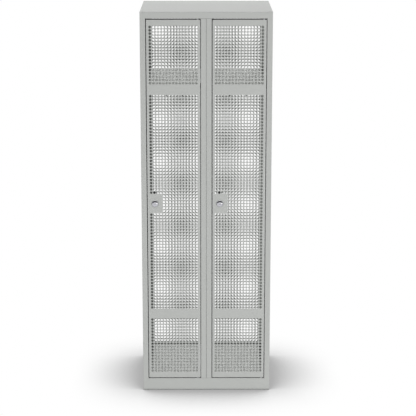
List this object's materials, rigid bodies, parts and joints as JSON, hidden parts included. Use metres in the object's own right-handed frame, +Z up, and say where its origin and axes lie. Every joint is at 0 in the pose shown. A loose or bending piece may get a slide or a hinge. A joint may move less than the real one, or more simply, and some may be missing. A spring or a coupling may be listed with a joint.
{
  "type": "perforated steel locker",
  "caption": "Free-standing steel locker with side-by-side full-height compartments behind perforated, flush-fitting hinged doors with cam locks.",
  "frame": {"origin": "middle of the bounding box at the floor, with the doors closed", "axes": "+Z up, doors face -Y, +X to the right of someone facing the doors"},
  "size_m": [0.6, 0.5034, 1.8],
  "materials": {
    "case_paint": "light grey powder coat, satin",
    "door_paint": "light grey powder coat, satin",
    "zinc_plate": "zinc plated, satin",
    "lock_chrome": "polished",
    "buffer_rubber": "matt"
  },
  "bodies": {
    "case": {"roof_panel": "case_paint", "base_tray": "case_paint", "side_panel_left": "case_paint", "side_panel_right": "case_paint", "partition_left": "case_paint", "partition_right": "case_paint", "back_panel": "case_paint", "hat_shelf_left": "case_paint", "hat_shelf_right": "case_paint", "coat_rail_left": "zinc_plate", "coat_rail_right": "zinc_plate", "rail_socket_left_a": "zinc_plate", "rail_socket_left_b": "zinc_plate", "rail_socket_right_a": "zinc_plate", "rail_socket_right_b": "zinc_plate", "pivot_washer_left": "zinc_plate", "pivot_washer_right": "zinc_plate", "door_buffer_top_left": "buffer_rubber", "door_buffer_top_right": "buffer_rubber", "door_buffer_bottom_left": "buffer_rubber", "door_buffer_bottom_right": "buffer_rubber"},
    "door_left": {"door_skin_left": "door_paint", "door_frame_left": "door_paint", "pivot_pin_top_left": "zinc_plate", "pivot_pin_bottom_left": "zinc_plate", "lock_barrel_left": "lock_chrome", "lock_nut_left": "zinc_plate"},
    "door_right": {"door_skin_right": "door_paint", "door_frame_right": "door_paint", "pivot_pin_top_right": "zinc_plate", "pivot_pin_bottom_right": "zinc_plate", "lock_barrel_right": "lock_chrome", "lock_nut_right": "zinc_plate"},
    "lock_left": {"lock_plug_left": "lock_chrome", "lock_cam_left": "zinc_plate", "cam_screw_left": "zinc_plate"},
    "lock_right": {"lock_plug_right": "lock_chrome", "lock_cam_right": "zinc_plate", "cam_screw_right": "zinc_plate"},
    "hook_left_a": {"coat_hook_left_a": "zinc_plate"},
    "hook_left_b": {"coat_hook_left_b": "zinc_plate"},
    "hook_right_a": {"coat_hook_right_a": "zinc_plate"},
    "hook_right_b": {"coat_hook_right_b": "zinc_plate"}
  },
  "joints": [
    {"name": "door_left_hinge", "type": "hinge", "parent": "case", "child": "door_left", "pos_m": [-0.0395, -0.24235, 0.915], "axis": [0, 0, 1], "range_deg": [0, 110]},
    {"name": "door_right_hinge", "type": "hinge", "parent": "case", "child": "door_right", "pos_m": [0.2605, -0.24235, 0.915], "axis": [0, 0, 1], "range_deg": [0, 110]},
    {"name": "lock_left_turn", "type": "hinge", "parent": "door_left", "child": "lock_left", "pos_m": [-0.2375, -0.24835, 0.915], "axis": [0, -1, 0], "range_deg": [0, 90]},
    {"name": "lock_right_turn", "type": "hinge", "parent": "door_right", "child": "lock_right", "pos_m": [0.0625, -0.24835, 0.915], "axis": [0, -1, 0], "range_deg": [0, 90]},
    {"name": "hook_left_a_slide", "type": "slide", "parent": "case", "child": "hook_left_a", "axis": [1, 0, 0], "range_m": [-0.09, 0.034]},
    {"name": "hook_left_b_slide", "type": "slide", "parent": "case", "child": "hook_left_b", "axis": [1, 0, 0], "range_m": [-0.034, 0.09]},
    {"name": "hook_right_a_slide", "type": "slide", "parent": "case", "child": "hook_right_a", "axis": [1, 0, 0], "range_m": [-0.09, 0.034]},
    {"name": "hook_right_b_slide", "type": "slide", "parent": "case", "child": "hook_right_b", "axis": [1, 0, 0], "range_m": [-0.034, 0.09]}
  ]
}
